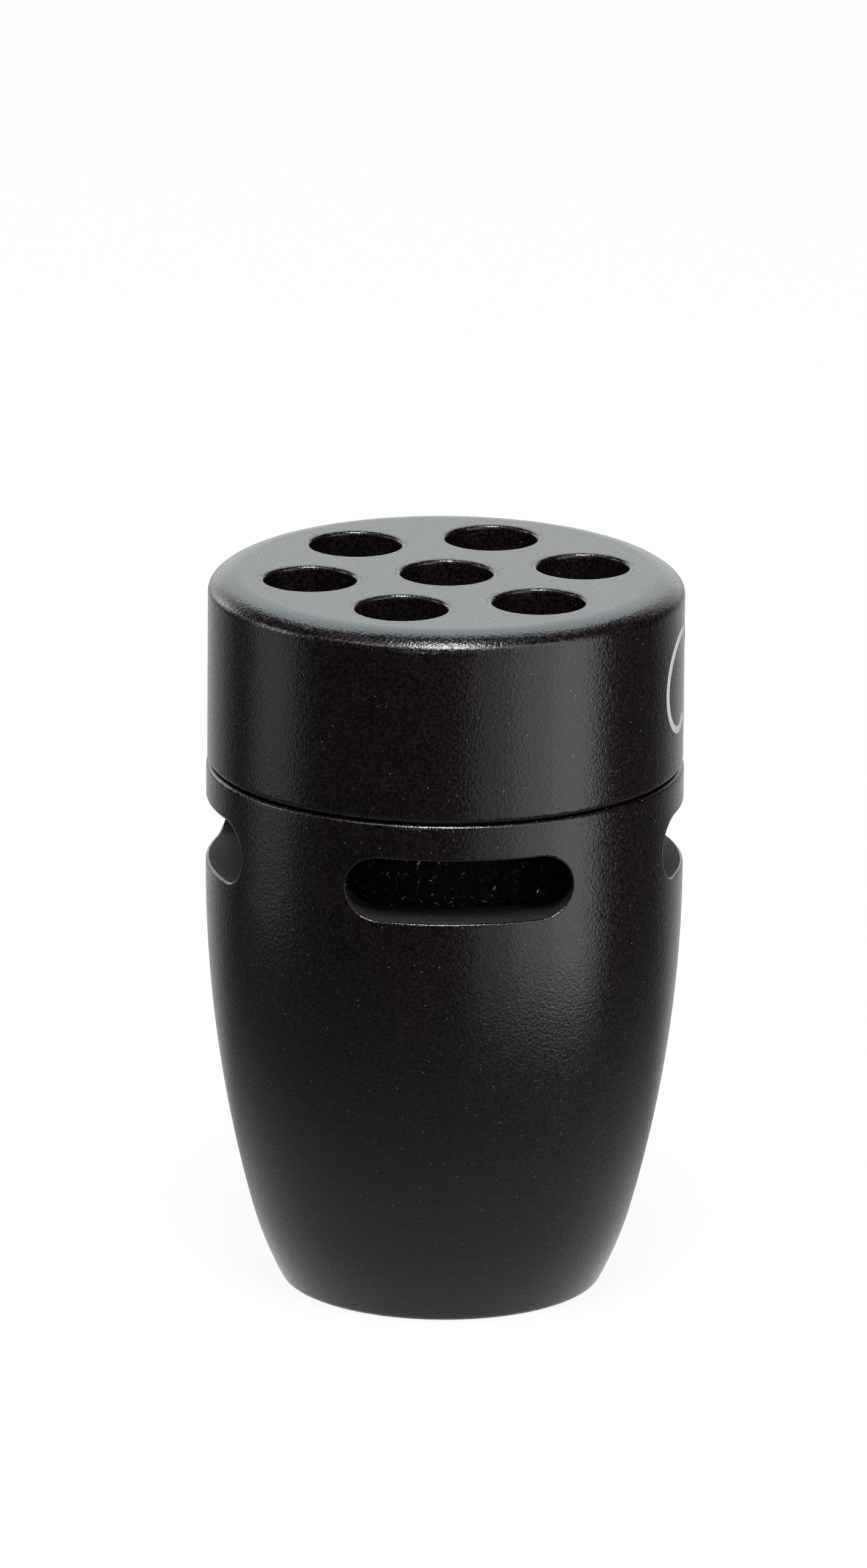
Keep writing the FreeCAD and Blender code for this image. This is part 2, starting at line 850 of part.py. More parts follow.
def make_pieces():
    """Every piece, from the sound holes down to the socket."""
    return [
        front_cap(),
        disc("front_gauze", spigot_radius, gauze_bottom, size("gauze_thickness")),
        disc("front_foam", spigot_radius, foam_bottom, size("foam_thickness")),
        disc("clamp_ring", spigot_radius, clamp_bottom, size("clamp_height"),
             spigot_radius - size("clamp_wall")),
        element_mount(),
        element_can(),
        disc("diaphragm_ring", element_radius, diaphragm_top,
             size("diaphragm_ring_thickness"), element_bore),
        disc("diaphragm", element_radius, spacer_top, size("diaphragm_thickness")),
        disc("spacer_ring", element_radius, back_plate_top, size("spacer_thickness"),
             element_bore),
        back_plate(),
        back_plate_holder(),
        disc("gate_contact_ring", gate_ring_seat - size("fit"), element_board_top,
             back_plate_bottom - element_board_top,
             gate_ring_seat - size("gate_ring_width")),
        transistor("element_transistor", ZERO, element_board_top),
        element_chips(),
        element_board(),
        rear_felt(),
        disc("side_foam", mount_radius, divider_top, mount_bottom - divider_top,
             mount_radius - size("side_foam_thickness")),
        chamber_divider(),
        lead_grommet(),
        lead("signal_lead", -1),
        lead("ground_lead", 1),
        disc("spacer_sleeve", sleeve_radius, filter_board_top,
             divider_bottom - filter_board_top, sleeve_bore),
        coupling_capacitor(),
        filter_transistor(),
        filter_chips(),
        disc("filter_board", sleeve_radius, filter_board_bottom,
             size("filter_board_thickness")),
        retaining_ring(),
        contact_insulator(),
        ring_contact(),
        centre_contact(),
        body_shell(),
    ]


def check_features(pieces):
    """Stop if a feature failed, cut nothing, or left a piece without a sound solid."""
    for thing in doc.Objects:
        if "Invalid" in thing.State or "Error" in thing.State:
            raise RuntimeError(f"{thing.Label} failed: {thing.State}")
    for body in pieces:
        if body.Shape.isNull() or not body.Shape.isValid() or not body.Shape.Solids:
            raise RuntimeError(f"{body.Label} has no sound solid")
        cuts = [thing for thing in body.Group
                if thing.TypeId in ("PartDesign::Pocket", "PartDesign::Groove")]
        for cut in cuts:
            if cut.Shape.Volume >= cut.BaseFeature.Shape.Volume:
                raise RuntimeError(f"{cut.Label} of {body.Label} cuts nothing")


def export(pieces):
    """Write each piece under its own name."""
    os.makedirs("parts", exist_ok=True)
    for body in pieces:
        body.Shape.exportStep(f"parts/{body.Label}.step")


pieces = make_pieces()
doc.recompute()
check_features(pieces)
export(pieces)
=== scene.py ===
import math

import bmesh
import bpy
import numpy as np
from mathutils import Matrix, Vector
from mathutils.geometry import delaunay_2d_cdt


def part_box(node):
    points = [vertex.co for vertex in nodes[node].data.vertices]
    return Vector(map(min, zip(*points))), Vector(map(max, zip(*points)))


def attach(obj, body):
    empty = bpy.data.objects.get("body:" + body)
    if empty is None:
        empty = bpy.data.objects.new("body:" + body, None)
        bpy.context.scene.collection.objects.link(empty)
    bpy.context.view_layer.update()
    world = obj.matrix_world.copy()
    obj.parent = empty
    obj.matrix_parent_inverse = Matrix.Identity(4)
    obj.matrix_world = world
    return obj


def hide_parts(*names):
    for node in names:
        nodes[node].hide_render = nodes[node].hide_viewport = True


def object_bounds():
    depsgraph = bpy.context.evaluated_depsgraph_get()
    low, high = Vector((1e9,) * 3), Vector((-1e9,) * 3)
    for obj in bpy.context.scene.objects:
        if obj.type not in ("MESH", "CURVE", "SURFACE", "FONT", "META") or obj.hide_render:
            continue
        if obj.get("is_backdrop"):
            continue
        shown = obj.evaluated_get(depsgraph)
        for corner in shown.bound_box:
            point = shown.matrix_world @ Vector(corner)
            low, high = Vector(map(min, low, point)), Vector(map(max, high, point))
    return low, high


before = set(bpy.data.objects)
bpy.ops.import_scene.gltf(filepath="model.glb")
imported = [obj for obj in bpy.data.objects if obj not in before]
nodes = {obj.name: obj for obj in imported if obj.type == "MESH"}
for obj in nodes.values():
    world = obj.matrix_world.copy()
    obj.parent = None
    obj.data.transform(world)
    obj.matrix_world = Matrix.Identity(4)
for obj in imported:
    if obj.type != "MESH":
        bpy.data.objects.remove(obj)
cad_low, cad_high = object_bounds()

# The camera stands in front of the capsule and a little above it, far enough away for an
# almost parallel view. It is tipped slightly, so the capsule leans a little to the right.
CAMERA_RISE = math.radians(16.28)
CAMERA_TIP = math.radians(0.48)
CAMERA_AWAY = 0.6
aim = Vector((-0.000395, 0, 0.017780))

camera_data = bpy.data.cameras.new("camera")
camera = bpy.data.objects.new("camera", camera_data)
bpy.context.scene.collection.objects.link(camera)
bpy.context.scene.camera = camera
camera_data.lens = 397.5
camera_data.clip_start, camera_data.clip_end = 0.01, 20
back = Vector((0, -math.cos(CAMERA_RISE), math.sin(CAMERA_RISE)))
turn = (-back).to_track_quat("-Z", "Y").to_matrix().to_4x4()
camera.matrix_world = (Matrix.Translation(aim + back * CAMERA_AWAY) @ turn
                       @ Matrix.Rotation(CAMERA_TIP, 4, "Z"))
bpy.context.scene.view_settings.view_transform = "Standard"


# The capsule stands on a pale table in front of a white sheet. The table shows white except
# where the capsule shades it. Gloss sees it shine close to the foot and behind the capsule,
# and a small hole under the socket lets light in from below.
TABLE_GLOW, TABLE_TONE = 0.93, 0.04
TABLE_RADIUS, TABLE_HOLE = 3.0, 0.0050
TABLE_SIDES = 72
SHINE_FROM, SHINE_FADE = 0.0053, 0.011
BEHIND_FROM, BEHIND_RISE, BEHIND_SHINE = 0.5, 2.2, 0.8
SHEET_AWAY, SHEET_SIZE, SHEET_TONE = 1.0, 0.8, 0.8


class Value:
    """A shader value. Arithmetic on it adds the Math nodes that work it out."""

    def __init__(self, finish, socket):
        self.finish = finish
        self.socket = socket

    def math(self, operation, first, second=0.0):
        return self.finish.node("Math", {"operation": operation}, {0: first, 1: second})

    def __add__(self, other):
        return self.math("ADD", self, other)

    def __sub__(self, other):
        return self.math("SUBTRACT", self, other)

    def __rsub__(self, other):
        return self.math("SUBTRACT", other, self)

    def __mul__(self, other):
        return self.math("MULTIPLY", self, other)

    def __truediv__(self, other):
        return self.math("DIVIDE", self, other)

    def __gt__(self, other):
        return self.math("GREATER_THAN", self, other)

    __radd__ = __add__
    __rmul__ = __mul__

    def __abs__(self):
        return self.math("ABSOLUTE", self)

    def larger(self, other):
        return self.math("MAXIMUM", self, other)

    def smaller(self, other):
        return self.math("MINIMUM", self, other)


class Finish:
    """A material while its nodes are laid out."""

    def __init__(self, name, tree=None):
        if tree is None:
            self.material = bpy.data.materials.new(name)
            self.material.use_nodes = True
            tree = self.material.node_tree
        self.tree = tree
        self.tree.nodes.clear()

    def node(self, kind, settings=(), sockets=(), output=0):
        """Add a node, set it up, fill its sockets and hand back one of its outputs."""
        made = self.tree.nodes.new("ShaderNode" + kind)
        for name, value in dict(settings).items():
            setattr(made, name, value)
        for name, value in dict(sockets).items():
            if isinstance(value, Value):
                self.tree.links.new(value.socket, made.inputs[name])
            else:
                made.inputs[name].default_value = value
        return Value(self, made.outputs[output]) if made.outputs else None

    def place(self):
        """Where a point lies on the piece, in metres."""
        return self.node("TexCoord", output="Object")

    def noise(self, grain, detail=2.0, roughness=0.5, at=None):
        """Soft noise whose grains are about this many millimetres wide."""
        return self.node("TexNoise", {}, {
            "Vector": at or self.place(), "Scale": 1000 / grain, "Detail": detail,
            "Roughness": roughness}, "Fac")

    def blend(self, share, dark, light):
        """A colour between two others."""
        return self.node("Mix", {"data_type": "RGBA"}, {
            0: share, 6: colour_of(dark), 7: colour_of(light)}, 2)

    def bump(self, height, depth):
        """Relief of this depth in millimetres."""
        return self.node("Bump", {}, {"Height": height, "Distance": depth / 1000})

    def surface(self, **sockets):
        """Close the material with its one shader."""
        named = {name.replace("_", " ").title().replace("Ior", "IOR"): value
                 for name, value in sockets.items()}
        shader = self.node("BsdfPrincipled", {}, named)
        self.node("OutputMaterial", {}, {"Surface": shader})
        return self.material


def colour_of(value):
    """A colour with its alpha, or the value that is linked there."""
    return value if isinstance(value, Value) else (*value, 1)


table_paint = Finish("table_paint")
to_camera = table_paint.node("LightPath", output="Is Camera Ray")
to_gloss = table_paint.node("LightPath", output="Is Glossy Ray")
to_glass = table_paint.node("LightPath", output="Is Transmission Ray")
spot = table_paint.place()
away = table_paint.node("VectorMath", {"operation": "LENGTH"}, {0: spot}, "Value")
behind = table_paint.node("SeparateXYZ", {}, {0: spot}, "Y") / away
near = table_paint.node("Math", {"operation": "EXPONENT"}, {
    0: (SHINE_FROM - away) / SHINE_FADE})
far = ((behind - BEHIND_FROM) * BEHIND_RISE).larger(0).smaller(1) * BEHIND_SHINE
shine = to_camera * TABLE_GLOW + to_gloss.larger(to_glass) * near.larger(far)
glow = table_paint.node("Emission", {}, {"Color": (1, 1, 1, 1), "Strength": shine})
pale = table_paint.node("BsdfDiffuse", {}, {
    "Color": (TABLE_TONE, TABLE_TONE, TABLE_TONE, 1)})
top_side = table_paint.node("AddShader", {}, {0: glow, 1: pale})
under_side = table_paint.node("BsdfTransparent")
facing = table_paint.node("NewGeometry", output="Backfacing")
table_shade = table_paint.node("MixShader", {}, {0: facing, 1: top_side, 2: under_side})
table_paint.node("OutputMaterial", {}, {"Surface": table_shade})
table_paint.material.cycles.emission_sampling = "NONE"

corners = [(radius * math.sin(angle), -radius * math.cos(angle), 0)
           for radius in (TABLE_HOLE, TABLE_RADIUS)
           for angle in (2 * math.pi * step / TABLE_SIDES for step in range(TABLE_SIDES))]
table_mesh = bpy.data.meshes.new("table")
table_mesh.from_pydata(corners, [], [
    (step, TABLE_SIDES + step, TABLE_SIDES + (step + 1) % TABLE_SIDES, (step + 1) % TABLE_SIDES)
    for step in range(TABLE_SIDES)])
table_mesh.materials.append(table_paint.material)
table = bpy.data.objects.new("table", table_mesh)
bpy.context.scene.collection.objects.link(table)
table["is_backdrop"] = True

sheet_paint = Finish("white_sheet")
to_camera = sheet_paint.node("LightPath", output="Is Camera Ray")
to_gloss = sheet_paint.node("LightPath", output="Is Glossy Ray")
to_glass = sheet_paint.node("LightPath", output="Is Transmission Ray")
white = sheet_paint.node("Emission", {}, {"Color": (1, 1, 1, 1), "Strength": 1.0})
cloth = sheet_paint.node("BsdfDiffuse", {}, {
    "Color": (SHEET_TONE, SHEET_TONE, SHEET_TONE, 1)})
sheet_shade = sheet_paint.node("MixShader", {}, {
    0: to_camera.larger(to_gloss).larger(to_glass), 1: cloth, 2: white})
sheet_paint.node("OutputMaterial", {}, {"Surface": sheet_shade})
sheet_paint.material.cycles.emission_sampling = "NONE"
sheet_mesh = bpy.data.meshes.new("white_sheet")
sheet_mesh.from_pydata([
    (-SHEET_SIZE, SHEET_AWAY, 0), (SHEET_SIZE, SHEET_AWAY, 0),
    (SHEET_SIZE, SHEET_AWAY, SHEET_SIZE), (-SHEET_SIZE, SHEET_AWAY, SHEET_SIZE)],
    [], [(0, 1, 2, 3)])
sheet_mesh.materials.append(sheet_paint.material)
white_sheet = bpy.data.objects.new("white_sheet", sheet_mesh)
bpy.context.scene.collection.objects.link(white_sheet)
white_sheet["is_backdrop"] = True

# The room is dim grey to the capsule and white to the camera. Three soft boxes hang behind
# the capsule, three in front of it and two at its left. Lit cards close beside it draw its
# upright bands.
ROOM_GREY = 0.03
BACK_AWAY, BACK_WIDTH, CAP_LEVEL = 0.7, 0.6, 0.025

world = bpy.data.worlds.new("room")
world.use_nodes = True
bpy.context.scene.world = world
room = Finish("room", world.node_tree)
to_camera = room.node("LightPath", output="Is Camera Ray")
shade = room.node("Background", {}, {
    "Color": (1, 1, 1, 1), "Strength": to_camera * (1 - ROOM_GREY) + ROOM_GREY})
room.node("OutputWorld", {}, {"Surface": shade})


def soft_box(name, turn, away, height, width, tall, brightness, tint=(1, 1, 1), aimed=None):
    """A rectangular lamp, turned this far from the front towards the right, in metres."""
    lamp = bpy.data.lights.new(name, "AREA")
    lamp.shape = "RECTANGLE"
    lamp.size, lamp.size_y = width, tall
    lamp.energy = math.pi * width * tall * brightness
    lamp.color = tint
    box = bpy.data.objects.new(name, lamp)
    turn = math.radians(turn)
    box.location = (away * math.sin(turn), -away * math.cos(turn), height)
    target = Vector((0, 0, height if aimed is None else aimed))
    box.rotation_euler = (target - box.location).to_track_quat("-Z", "Y").to_euler()
    box.visible_camera = False
    bpy.context.scene.collection.objects.link(box)


for number, (turn, brightness) in enumerate(((22, 0.85), (41, 2.0), (60, 2.8))):
    soft_box(f"right_card_{number + 1}", turn, 0.034, 0.03, 0.0122, 0.06, brightness)
soft_box("left_card", -85, 0.055, 0.03, 0.026, 0.06, 0.85)
for number, (rise, tall, brightness) in enumerate(((12, 0.34, 0.62), (34, 0.19, 2.0),
                                                   (54, 0.28, 4.2))):
    rise = math.radians(rise)
    soft_box(f"back_box_{number + 1}", 180, BACK_AWAY * math.cos(rise),
             CAP_LEVEL + BACK_AWAY * math.sin(rise), BACK_WIDTH, tall, brightness,
             (0.85, 0.97, 1.0), CAP_LEVEL)
soft_box("key_box", 0, 0.14, 0.39, 0.10, 0.22, 34, (0.97, 1.0, 1.0), 0.02)
soft_box("small_box", -12, 0.46, 0.18, 0.03, 0.03, 40, aimed=0.02)
soft_box("left_box", -96, 0.38, 0.20, 0.10, 0.10, 7, aimed=0.02)
soft_box("left_back_box", -138, 0.45, 0.13, 0.16, 0.16, 3, aimed=0.02)
soft_box("long_box", -14, 0.17, 0.39, 0.55, 0.10, 5, (0.97, 1.0, 1.0), 0.02)


# The insulator is a disc turned from black plastic that closes the end of the socket. It
# carries both contacts, and the retaining ring clamps it.


def dress(material, *names):
    """Give the frame's pieces their finish."""
    for name in names:
        nodes[name].data.materials.clear()
        nodes[name].data.materials.append(material)


plastic = Finish("black_plastic")
rings = plastic.node("TexWave", {"wave_type": "RINGS", "rings_direction": "Z"}, {
    "Vector": plastic.place(), "Scale": 3100, "Distortion": 0.6, "Detail": 1}, "Fac")
mottle = plastic.noise(0.4)
dress(plastic.surface(
    base_color=plastic.blend(mottle, (0.035, 0.035, 0.036), (0.07, 0.07, 0.07)),
    roughness=rings * 0.12 + 0.42,
    normal=plastic.bump(rings, 0.003)), "contact_insulator")

# The two contacts are turned from brass and gold-plated. Their stem and legs pass through
# the insulator and are soldered to the filter board.
gold = Finish("gold_plate")
wear = gold.noise(0.5, 4)
scratches = gold.node("TexWave", {"wave_type": "RINGS", "rings_direction": "Z"}, {
    "Vector": gold.place(), "Scale": 5200, "Distortion": 1.5, "Detail": 2}, "Fac")
dress(gold.surface(
    base_color=gold.blend(wear, (0.86, 0.58, 0.22), (1.0, 0.76, 0.38)),
    metallic=1.0,
    roughness=wear * 0.2 + 0.16,
    normal=gold.bump(scratches, 0.0015)), "centre_contact", "ring_contact")

# The retaining ring, the chamber divider and the clamp ring are turned from aluminium and
# left bare, so fine tool marks run round them.
aluminium = Finish("turned_aluminium")
tool_marks = aluminium.node("TexWave", {"wave_type": "RINGS", "rings_direction": "Z"}, {
    "Vector": aluminium.place(), "Scale": 2600, "Distortion": 0.8, "Detail": 2}, "Fac")
haze = aluminium.noise(0.7, 3)
dress(aluminium.surface(
    base_color=aluminium.blend(haze, (0.6, 0.6, 0.61), (0.78, 0.78, 0.79)),
    metallic=1.0,
    roughness=haze * 0.25 + 0.22,
    normal=aluminium.bump(tool_marks, 0.003)),
    "retaining_ring", "chamber_divider", "clamp_ring")

# Both round boards are glass cloth in resin under a green coat. The cloth's weave shows
# through the coat, and copper tracks stand a little proud under it.
board = Finish("green_board")
warp = board.node("TexWave", {"bands_direction": "X"}, {
    "Vector": board.place(), "Scale": 900}, "Fac")
weft = board.node("TexWave", {"bands_direction": "Y"}, {
    "Vector": board.place(), "Scale": 900}, "Fac")
weave = warp * weft
tracks = board.node("TexVoronoi", {"feature": "DISTANCE_TO_EDGE", "distance": "CHEBYCHEV"}, {
    "Vector": board.place(), "Scale": 700}, "Distance") > 0.12
base = board.blend(weave, (0.012, 0.11, 0.04), (0.03, 0.19, 0.08))
dress(board.surface(
    base_color=board.blend(tracks * 0.6, base, (0.07, 0.32, 0.13)),
    roughness=weave * 0.15 + 0.25,
    coat_weight=0.4,
    normal=board.bump(weave * 0.3 + tracks, 0.012)), "filter_board", "element_board")

# The chips are small bars of fired ceramic with tinned ends. They lie flat on the boards
# and are soldered down at both ends.
CERAMIC_HALF = 0.28


def chip_finish(name, middle):
    """Ceramic with tinned ends, for bars whose middles lie this far from the axis."""
    chip = Finish(name)
    across = chip.node("SeparateXYZ", {}, {0: chip.place()}, "X")
    away = abs(abs(across) - middle / 1000)
    tin = away > CERAMIC_HALF / 1000
    speckle = chip.noise(0.06, 3)
    ceramic = chip.blend(speckle, (0.26, 0.19, 0.13), (0.42, 0.33, 0.25))
    return chip.surface(
        base_color=chip.blend(tin, ceramic, (0.74, 0.74, 0.72)),
        metallic=tin,
        roughness=0.5 - tin * 0.2 + speckle * 0.1,
        normal=chip.bump(speckle, 0.006))


dress(chip_finish("element_chip", 0.575), "element_chips")
dress(chip_finish("filter_chip", 2.3), "filter_chips")

# Both transistors are moulded in black plastic. Their tinned tabs leave the case at board
# level and are soldered down.
TAB_THICKNESS = 0.17


def moulded_case(name, board):
    """Bare tin up to the tabs' top above this board, and moulded plastic over it."""
    case = Finish(name)
    height = case.node("SeparateXYZ", {}, {0: case.place()}, "Z")
    fine = case.noise(0.05, 3)
    tin = 1 - (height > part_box(board)[1].z + TAB_THICKNESS / 1000)
    return case.surface(
        base_color=case.blend(tin, (0.022, 0.022, 0.023), (0.7, 0.7, 0.68)),
        metallic=tin,
        roughness=fine * 0.2 + 0.4,
        normal=case.bump(fine, 0.004))


dress(moulded_case("transistor_case", "filter_board"), "filter_transistor")
dress(moulded_case("element_transistor_case", "element_board"), "element_transistor")

# The coupling capacitor is a drawn can in a shrunk sleeve, so its side is satin and its
# top shows a rim of sleeve round bare metal.
SLEEVE_LIP = 0.05

can_sleeve = Finish("capacitor_sleeve")
grain = can_sleeve.noise(0.15, 3)
level = can_sleeve.node("SeparateXYZ", {}, {0: can_sleeve.place()}, "Z")
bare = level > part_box("coupling_capacitor")[1].z - SLEEVE_LIP / 1000
dress(can_sleeve.surface(
    base_color=can_sleeve.blend(bare, (0.03, 0.035, 0.06), (0.72, 0.72, 0.74)),
    metallic=bare,
    roughness=grain * 0.2 + 0.3,
    normal=can_sleeve.bump(grain, 0.006)), "coupling_capacitor")

# The spacer sleeve and the back plate's holder are moulded from white plastic and set the
# distances between the boards and plates.
white_plastic = Finish("white_plastic")
cloud = white_plastic.noise(0.8, 3)
dress(white_plastic.surface(
    base_color=white_plastic.blend(cloud, (0.72, 0.7, 0.64), (0.82, 0.8, 0.75)),
    roughness=cloud * 0.2 + 0.35,
    normal=white_plastic.bump(white_plastic.noise(0.12, 3), 0.005)),
    "spacer_sleeve", "back_plate_holder")

# The rubber carrier and the grommet are moulded in black rubber, dull and slightly dusty.
# The carrier holds the element by its stretch, and the grommet holds the leads.
rubber = Finish("black_rubber")
dust = rubber.noise(0.35, 4)
dress(rubber.surface(
    base_color=rubber.blend(dust, (0.016, 0.016, 0.017), (0.042, 0.041, 0.04)),
    roughness=dust * 0.2 + 0.62,
    normal=rubber.bump(rubber.noise(0.07, 3), 0.006)), "element_mount", "lead_grommet")

# The two leads are stranded wire in coloured insulation, glossy and slightly uneven from
# the extruder.


def wire_cover(name, dark, light):
    """Extruded insulation in one colour."""
    cover = Finish(name)
    ripple = cover.noise(0.3, 3)
    return cover.surface(
        base_color=cover.blend(ripple, dark, light),
        roughness=ripple * 0.15 + 0.25,
        normal=cover.bump(ripple, 0.01))


dress(wire_cover("red_wire", (0.45, 0.025, 0.02), (0.66, 0.05, 0.04)), "signal_lead")
dress(wire_cover("black_wire", (0.014, 0.014, 0.015), (0.03, 0.03, 0.031)), "ground_lead")

# The electret element: a drawn can with a metal film stretched behind it, a thin spacer, a
# perforated back plate and a ring that carries its charge to the transistor.
drawn = Finish("drawn_aluminium")
up = drawn.node("Mapping", {}, {"Vector": drawn.place(), "Scale": (1, 1, 0.04)})
streaks = drawn.noise(0.06, 3, 0.6, up)
dress(drawn.surface(
    base_color=drawn.blend(streaks, (0.62, 0.63, 0.64), (0.8, 0.81, 0.82)),
    metallic=1.0,
    roughness=streaks * 0.3 + 0.18,
    normal=drawn.bump(streaks, 0.003)), "element_can")

film = Finish("metal_film")
ripple = film.noise(1.4, 2)
dress(film.surface(
    base_color=film.blend(ripple, (0.8, 0.6, 0.28), (0.92, 0.74, 0.4)),
    metallic=1.0,
    roughness=ripple * 0.1 + 0.12,
    normal=film.bump(ripple, 0.01)), "diaphragm")

spacer = Finish("spacer_film")
cloud = spacer.noise(0.5, 3)
dress(spacer.surface(
    base_color=spacer.blend(cloud, (0.6, 0.5, 0.32), (0.74, 0.65, 0.47)),
    roughness=cloud * 0.2 + 0.3,
    normal=spacer.bump(cloud, 0.004)), "spacer_ring")

brass = Finish("turned_brass")
marks = brass.node("TexWave", {"wave_type": "RINGS", "rings_direction": "Z"}, {
    "Vector": brass.place(), "Scale": 3600, "Distortion": 0.7, "Detail": 2}, "Fac")
tarnish = brass.noise(0.6, 4)
dress(brass.surface(
    base_color=brass.blend(tarnish, (0.6, 0.42, 0.17), (0.83, 0.63, 0.3)),
    metallic=1.0,
    roughness=tarnish * 0.3 + 0.18,
    normal=brass.bump(marks, 0.003)), "diaphragm_ring", "back_plate", "gate_contact_ring")


# The rear felt is a disc of pressed wool over the element's rear ports. Loose hairs stand
# off its face, and both leads pass through it.
FELT_EDGE, FELT_HAIRS, HAIR_RADIUS, HAIR_LENGTH = 0.05, 900, 0.008, 0.5
HAIR_BEND = 0.12
LEAD_HOLE, LEAD_PLACE = 0.27, 0.45


class Skin:
    """The points and faces of a piece while it is built up, in millimetres."""

    def __init__(self):
        self.spots = []
        self.faces = []
        self.inner = []

    def row(self, spots):
        """Lay a row of points and hand back their numbers."""
        first = len(self.spots)
        self.spots.extend(spots)
        return list(range(first, len(self.spots)))

    def stitch(self, row, following):
        """Fill the strip between two closed rows with four-sided faces."""
        for here in range(len(row)):
            there = (here + 1) % len(row)
            self.faces.append((row[here], row[there], following[there], following[here]))

    def stack(self, rows):
        """Fill the strips between each row and the one after it."""
        for row, following in zip(rows, rows[1:]):
            self.stitch(row, following)

    def piece(self, name, finishes, crease, slot, replaced=()):
        """Close the mesh, hand it to the frame and finish it, its inner faces last."""
        mesh = bpy.data.meshes.new(name)
        mesh.from_pydata((np.array(self.spots) / 1000).tolist(), [], self.faces)
        for finish in finishes:
            mesh.materials.append(finish)
        for face in self.inner:
            mesh.polygons[face].material_index = 1
        mesh.validate()
        shaper = bmesh.new()
        shaper.from_mesh(mesh)
        unused = [vert for vert in shaper.verts if not vert.link_faces]
        bmesh.ops.delete(shaper, geom=unused)
        bmesh.ops.recalc_face_normals(shaper, faces=shaper.faces)
        shaper.to_mesh(mesh)
        shaper.free()
        mesh.polygons.foreach_set("use_smooth", [True] * len(mesh.polygons))
        mesh.set_sharp_from_angle(angle=math.radians(crease))
        made = bpy.data.objects.new(name, mesh)
        bpy.context.scene.collection.objects.link(made)
        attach(made, "root")
        if replaced:
            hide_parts(*replaced)
        return made


def cylinder_spot(radius, angle, height):
    """A point on the capsule, its angle in degrees from the front towards the right."""
    angle = math.radians(angle)
    return (radius * math.sin(angle), -radius * math.cos(angle), height)


def rod(skin, spots, radius):
    """A thin four-sided rod along these points, closed at both ends."""
    spots = np.array(spots)
    along = np.gradient(spots, axis=0)
    along /= np.linalg.norm(along, axis=1)[:, None]
    side = np.cross(along, [0, 0, 1.0])
    side /= np.linalg.norm(side, axis=1)[:, None]
    over = np.cross(side, along)
    rows = []
    for spot, out, rise in zip(spots, side, over):
        rows.append(skin.row([tuple(spot + radius * (a * out + b * rise))
                              for a, b in ((1, 0), (0, 1), (-1, 0), (0, -1))]))
    skin.stack(rows)
    skin.faces += [tuple(rows[0]), tuple(reversed(rows[-1]))]


def ring_row(skin, radius, height, across=0.0, away=0.0, count=72):
    """A row of points round an upright axis that stands this far from the capsule's."""
    spots = [cylinder_spot(radius, 360 * n / count, height) for n in range(count)]
    return skin.row([(x + across, y + away, z) for x, y, z in spots])


def fill_flat(skin, rim, holes):
    """Fill the flat between a rim and the holes inside it with triangles."""
    rows = [rim] + holes
    numbers = [number for row in rows for number in row]
    flat = [Vector(skin.spots[number][:2]) for number in numbers]
    edges, first = [], 0
    for row in rows:
        edges += [(first + n, first + (n + 1) % len(row)) for n in range(len(row))]
        first += len(row)
    loops = [[numbers.index(number) for number in row] for row in rows]
    centres = [sum((flat[n] for n in loop), Vector((0, 0))) / len(loop) for loop in loops]
    radii = [(flat[loop[0]] - centre).length for loop, centre in zip(loops, centres)]
    made = delaunay_2d_cdt(flat, edges, [], 0, 1e-6)
    for triangle in made[2]:
        middle = sum((made[0][n] for n in triangle), Vector((0, 0))) / 3
        in_hole = any((middle - centre).length < radius * 0.99
                      for centre, radius in zip(centres[1:], radii[1:]))
        if not in_hole:
            skin.faces.append(tuple(numbers[made[3][n][0]] for n in triangle))


felt = Finish("pressed_felt")
hair = felt.noise(0.05, 5, 0.7)
felt_wool = felt.surface(
    base_color=felt.blend(hair, (0.5, 0.47, 0.41), (0.82, 0.79, 0.73)),
    roughness=hair * 0.1 + 0.88,
    normal=felt.bump(hair, 0.03))

low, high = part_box("rear_felt")
bottom, top, rim = low.z * 1000, high.z * 1000 - 2 * HAIR_RADIUS, high.x * 1000
pad = Skin()
rim_rows = [ring_row(pad, rim - inset, level) for inset, level in (
    (FELT_EDGE, bottom), (0.0, bottom + FELT_EDGE), (0.0, top - FELT_EDGE), (FELT_EDGE, top))]
pad.stack(rim_rows)
holes = []
for across in (-LEAD_PLACE, LEAD_PLACE):
    holes.append([ring_row(pad, LEAD_HOLE, level, across) for level in (bottom, top)])
    pad.stack(holes[-1])
fill_flat(pad, rim_rows[0], [rows[0] for rows in holes])
fill_flat(pad, rim_rows[-1], [rows[1] for rows in holes])
strew = np.random.default_rng(5)
for _ in range(FELT_HAIRS):
    angle, lie = strew.uniform(0, 2 * math.pi, 3)[:2]
    away = (rim - HAIR_LENGTH) * math.sqrt(strew.uniform(0.04, 1))
    middle = np.array([away * math.sin(angle), away * math.cos(angle)])
    bend = strew.uniform(-HAIR_BEND, HAIR_BEND)
    across = np.array([math.cos(lie), math.sin(lie)])
    up = np.array([-math.sin(lie), math.cos(lie)])
    path = [middle + across * HAIR_LENGTH * share + up * bend * (1 - 4 * share ** 2)
            for share in (-0.5, -0.2, 0.2, 0.5)]
    rod(pad, [(x, y, top) for x, y in path], HAIR_RADIUS)
felt_pad = pad.piece("rear_felt_pad", [felt_wool], 50, "felt", ["rear_felt"])

# The side foam is a sleeve of black open-cell foam behind the slots: thin bowed struts that
# meet four at a time round empty cells, with a glint here and there. It is rolled from a
# strip and pushed into the sound chamber.
STRUT_RADIUS, STRUT_BOW, DEEPEST = 0.03, 0.07, 5.45
CELL_WANDER = 0.13


